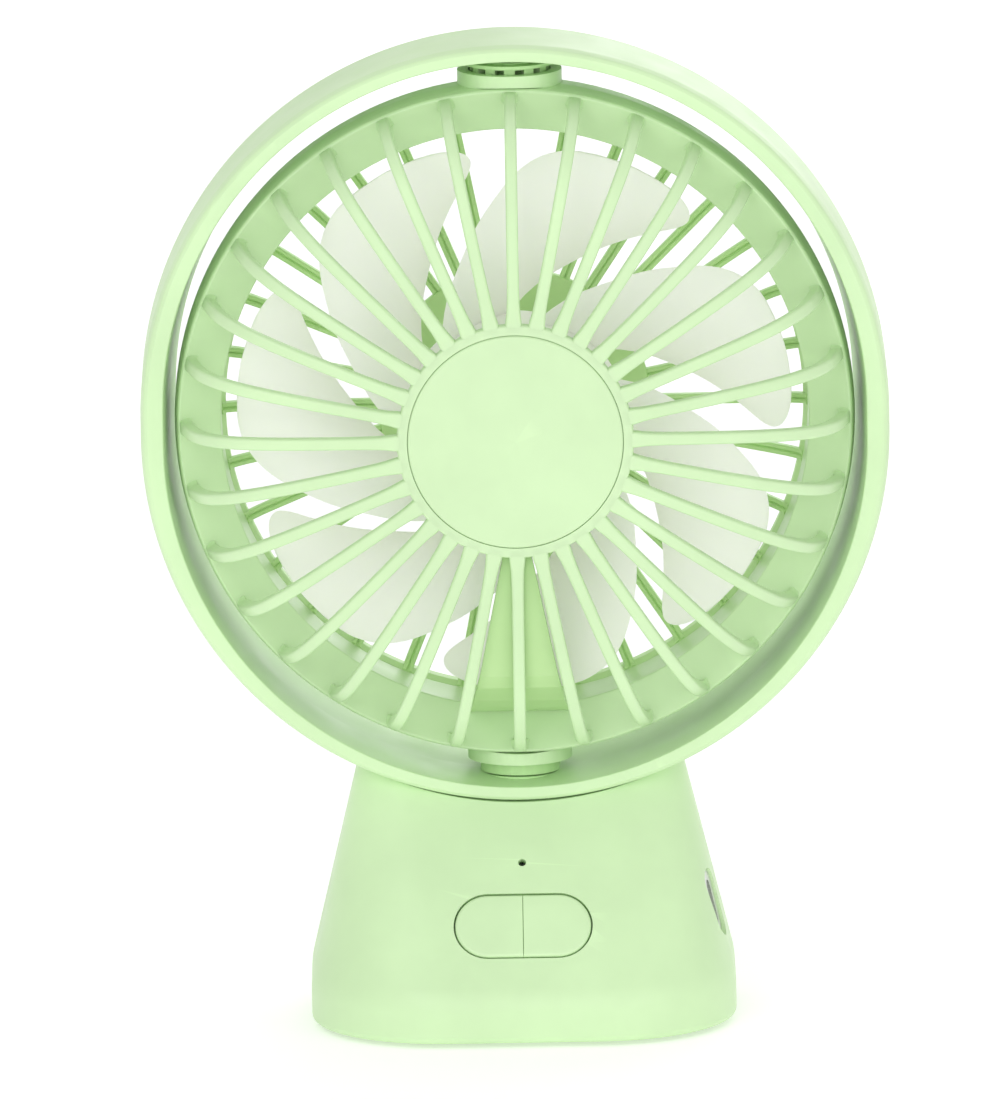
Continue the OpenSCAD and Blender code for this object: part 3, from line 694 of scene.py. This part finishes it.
cap = revolve("cap_disc", fillet([
    (0.01, HUB_Y - 0.3), (3, HUB_Y - 0.3), (6, HUB_Y - 0.29), (9, HUB_Y - 0.28), (12, HUB_Y - 0.26),
    (15, HUB_Y - 0.23), (CAP_R - 0.3, HUB_Y - 0.1, 0.2),
    (CAP_R - 0.02, HUB_Y + 0.1, 0.3), (CAP_R - 0.02, HUB_Y + 0.87, 0.1), (0.01, HUB_Y + 0.87)], 4))
fit(cap, "head", mat_head_shaded, "mint_plastic", "hub_cap")

# ------------------------------------------------ rear grille

shell_profile = fillet([
    (58.05, SHELL_Y, 0.15), (59.5, SHELL_Y, 0.2), (59.88, -3, 4), (59.88, 2, 6),
    (58.25, 6.6, 8), (56.1, 10.1, 6), (54.5, 12.4, 2.2), (53.2, SHELL_BACK - 0.02, 0.8),
    (51.6, SHELL_BACK - 0.02, 0.5), (51, SHELL_BACK - 0.6, 0.4), (51, 9.8, 0.2),
    (DUCT_R, 8.12, 0.2), (53.3, 8.12, 0.3), (56.4, 4.9, 2), (57.8, 2, 2), (58.05, -2, 2)], 5)
rear_path = catmull([(22.5, REAR_RIB_Y), (32, REAR_RIB_Y), (42, REAR_RIB_Y), (48, REAR_RIB_Y - 0.2),
                     (50.6, REAR_RIB_Y - 0.9), (51.5, REAR_RIB_Y - 1.8)], 4)
rear_parts = [revolve("shell_wall", shell_profile)]
rear_parts += [rib_bar("rear_rib", rear_path,
                       lambda r, share: REAR_RIB_W + 0.5 * max(0.0, (share - 0.85) / 0.15),
                       lambda r, share: REAR_RIB_T,
                       2 * math.pi * k / RIBS, edge=0.35, groove=0.42)
               for k in range(RIBS)]
rear_parts.append(revolve("rear_disc", fillet([
    (0.01, 10.7), (9, 10.7, 0.1), (9, 9.62, 0.1), (24, 9.62, 0.4), (24, REAR_DISC_Y, 0.6),
    (21.4, REAR_DISC_Y, 0.1), (21.1, REAR_Y - 0.4, 0.1), (20.4, REAR_Y - 0.4, 0.1),
    (20.1, REAR_DISC_Y, 0.1)]
    + [(r, REAR_DISC_Y) for r in (17, 13, 9.5, 6, 3, 0.01)], 3)))
rear = join("grille_rear", rear_parts)
fit(rear, "head", mat_rear, "rear_plastic", "rear_grille")
rear.data.materials.append(mat_head_shaded)
for face in rear.data.polygons:
    x, _, z = face.center / MM
    if math.hypot(x, z - RING_Z) > OUTER_WALL_R:
        face.material_index = 1

# ------------------------------------------------ impeller

ROOT_R = BLADE_HUB_R - 0.8          # the blades start inside the hub's wall

# The two edges of a blade seen from the front, as (radius, degrees clockwise)
LEADING = [(18.0, -43.0), (22.3, -33.8), (27.2, -23.7), (30.9, -16.9), (35.4, -10.5),
           (39.6, -4.7), (43.8, 0.7), (46.4, 5.0), (48.1, 9.6), (48.9, 14.6), (TIP_R, 24.6)]
TRAILING = [(18.0, -5.0), (20.6, 0.9), (25.9, 13.4), (29.8, 21.6), (34.9, 29.9), (40.7, 38.1),
            (44.0, 41.8), (46.2, 42.4), (47.9, 40.1), (48.9, 34.6), (TIP_R, 24.6)]
HALF_ANGLE = 20.2                   # half of what a blade spans, in degrees
MID_R = 35.1
MID_ANGLE = 9.7                     # where the middle of the blade is at that radius
MID_SWEEP = 1.51                    # and how it moves on, in degrees per millimetre
BLADE_Y = -11
BLADE_RAKE = 9.2                    # how far back the tip is from the root
BLADE_PITCH = 5.2                   # half the blade's depth at the root
TIP_FLATTER = 2.4                   # and how much less it is at the tip
BLADE_CAMBER = 1.1
BLADE_HALF_T = 0.5


def edge_at(path, r):
    """Angle on an edge at a radius, read off a smooth path."""
    for a, b in zip(path, path[1:]):
        if r <= b.x:
            return a.y + (b.y - a.y) * max(0.0, (r - a.x) / (b.x - a.x))
    return path[-1].y


def blade_point(r, w, side):
    """A point on a blade, at -1 to 1 from the leading to the trailing edge, on either side."""
    lead, trail = edge_at(leading_path, r), edge_at(trailing_path, r)
    degrees = lead + (trail - lead) * (w + 1) / 2
    a = math.radians(degrees)
    run = (r - BLADE_HUB_R) / (TIP_R - BLADE_HUB_R)
    s = max(-1.0, min(1.0, (degrees - MID_SWEEP * (r - MID_R) - MID_ANGLE) / HALF_ANGLE))
    y = (BLADE_Y + BLADE_RAKE * run + s * (BLADE_PITCH - TIP_FLATTER * run)
         - BLADE_CAMBER * (1 - s * s))
    thick = BLADE_HALF_T * (1 - 0.72 * abs(w) ** 4) * (1 - 0.25 * run)
    return (r * math.sin(a), y + side * thick, RING_Z + r * math.cos(a))


leading_path, trailing_path = catmull(LEADING, 8), catmull(TRAILING, 8)


def blade(name, turn):
    """One blade, with its rows closer together towards the tip."""
    rows, columns = 34, 29
    radii = [ROOT_R + (TIP_R - 0.03 - ROOT_R) * math.sin(math.pi / 2 * k / (rows - 1)) ** 0.9
             for k in range(rows)]
    verts = []
    for side in (-1, 1):
        for r in radii:
            for j in range(columns):
                verts.append(blade_point(r, 2 * j / (columns - 1) - 1, side))
    c, s = math.cos(turn), math.sin(turn)
    verts = [(x * c + (z - RING_Z) * s, y, RING_Z + (z - RING_Z) * c - x * s)
             for x, y, z in verts]
    faces = grid_faces(rows, columns, False, False)
    offset = rows * columns
    faces += [tuple(offset + i for i in reversed(f)) for f in faces]
    rim = list(range(columns)) + [i * columns + columns - 1 for i in range(1, rows)]
    rim += [(rows - 1) * columns + columns - 1 - j for j in range(1, columns)]
    rim += [(rows - 1 - i) * columns for i in range(1, rows - 1)]
    faces += [(a, b, offset + b, offset + a) for a, b in zip(rim, rim[1:] + rim[:1])]
    return make(name, verts, faces, 60)


wheel = [blade("blade", 2 * math.pi * k / BLADES) for k in range(BLADES)]
wheel.append(revolve("hub_cup", fillet([
    (0.01, HUB_BACK_Y), (BLADE_HUB_R - 0.02, HUB_BACK_Y, 1.6),
    (BLADE_HUB_R - 0.02, HUB_FRONT_Y, 0.3), (HUB_WALL_R, HUB_FRONT_Y, 0.3),
    (HUB_WALL_R, -7, 1), (3.4, -7, 0.5), (3.4, -10.38, 0.2),
    (1.02, -10.38, 0.1), (1.02, -6, 0.1), (0.01, -6)], 5), 96))
impeller = join("impeller_wheel", wheel)
fit(impeller, "impeller", mat_frost, "frosted_plastic", "fan_blades")

# ------------------------------------------------ CAD nodes that stay: materials and rounded edges

kept = {
    "base_cover": mat_cover, "foot_pads": mat_rubber, "cover_screws": mat_steel,
    "ring_screws": mat_steel, "upper_pivot_pin": mat_pivot, "lower_bush": mat_pivot,
    "swivel_motor": mat_can, "motor_mount_screws": mat_steel, "main_board": mat_board,
    "usb_socket": mat_port, "switch_board": mat_board, "tact_switches": mat_black,
    "board_screws": mat_steel, "led_lamp": mat_lens, "battery_cell": mat_foil,
    "battery_pad": mat_rubber, "upper_collar": mat_head_shaded, "lower_collar": mat_head_shaded,
    "upper_bush": mat_bronze, "cable_cover": mat_channel_shaded, "motor_housing": mat_head_shaded,
    "motor_housing_screws": mat_steel, "fan_motor": mat_can, "motor_bush": mat_bronze,
    "pivot_shaft": mat_pivot, "swivel_gear": mat_gear, "shaft_clip": mat_steel,
    "motor_shaft": mat_steel, "swivel_pinion": mat_bronze, "pinion_shaft": mat_steel,
}
for node, mat in kept.items():
    paint(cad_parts[node], mat)
rounded = {"upper_collar": 0.3, "lower_collar": 0.3, "upper_pivot_pin": 0.12, "pivot_shaft": 0.2}
for node, width in rounded.items():
    add_bevel(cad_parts[node], width, angle=50)

# ------------------------------------------------ floor, light and camera


def sweep_floor():
    """A pale floor that curves up into a backdrop."""
    bend, back, wide, front = 1.2, 6.5, 12.0, -12.0
    path = [(front, 0.0), (back, 0.0)]
    path += [(back + bend * math.sin(a), bend - bend * math.cos(a))
             for a in spread(0.1, math.pi / 2, 14)]
    path.append((back + bend, 7.0))
    mesh = bpy.data.meshes.new("studio_floor")
    verts = [(x, y, z) for y, z in path for x in (-wide, wide)]
    faces = [(2 * k, 2 * k + 1, 2 * k + 3, 2 * k + 2) for k in range(len(path) - 1)]
    mesh.from_pydata(verts, [], faces)
    obj = bpy.data.objects.new("studio_floor", mesh)
    scene.collection.objects.link(obj)
    mesh.shade_smooth()
    mat, tree, shader = node_material("studio_paper")
    coord = tree.nodes.new("ShaderNodeTexCoord").outputs["Object"]
    paper = blend_colour(tree, noise(tree, coord, 3), (0.90, 0.90, 0.90), (0.92, 0.92, 0.92))
    tree.links.new(paper, shader.inputs["Base Color"])
    shader.inputs["Roughness"].default_value = 0.85
    shader.inputs["Emission Color"].default_value = (1, 1, 1, 1)
    shader.inputs["Emission Strength"].default_value = 0.3
    paint(obj, mat)


sweep_floor()


def area(name, place, aim, size, power):
    """A rectangular lamp that points at a place."""
    light = bpy.data.lights.new(name, "AREA")
    light.shape = "RECTANGLE"
    light.size, light.size_y = size
    light.energy = power
    obj = bpy.data.objects.new(name, light)
    scene.collection.objects.link(obj)
    obj.location = place
    obj.rotation_euler = (Vector(aim) - Vector(place)).to_track_quat("-Z", "Y").to_euler()


area("key", (-0.5, -1.3, 0.75), (0, 0, 0.09), (0.8, 0.8), 4.5)
area("front", (0.1, -1.7, 0.22), (0, 0, 0.1), (1.2, 0.8), 3.8)
area("fill", (1.0, -1.2, 0.35), (0, 0, 0.09), (0.7, 0.9), 2.5)
area("top", (0, 0.1, 1.3), (0, 0, 0.1), (1.0, 1.0), 1.4)
area("rear", (0.6, 1.6, 0.6), (0, 0, 0.1), (1.2, 0.9), 5)

world = bpy.data.worlds.new("studio")
world.use_nodes = True
world.node_tree.nodes["Background"].inputs["Color"].default_value = (1, 1, 1, 1)
world.node_tree.nodes["Background"].inputs["Strength"].default_value = 0.6
scene.world = world
scene.view_settings.view_transform = "Standard"

SCALE = 5.67                        # thousandths of the picture's width, per millimetre
ELEVATION = math.radians(11.0)
ROLL = math.radians(0.93)
DISTANCE = 4.0
AIM = Vector((-3.0, 0.0, 83.0)) * MM

camera_data = bpy.data.cameras.new("camera")
camera_data.sensor_fit = "HORIZONTAL"
camera_data.sensor_width = 36.0
camera_data.lens = 36.0 * DISTANCE / (1000 / SCALE * MM)
camera = bpy.data.objects.new("camera", camera_data)
scene.collection.objects.link(camera)
towards = Vector((0, math.cos(ELEVATION), -math.sin(ELEVATION)))
camera.location = AIM - towards * DISTANCE
camera.rotation_mode = "QUATERNION"
roll = Matrix.Rotation(-ROLL, 3, "Z").to_quaternion()
camera.rotation_quaternion = towards.to_track_quat("-Z", "Y") @ roll
camera_data.clip_end = 20
scene.camera = camera
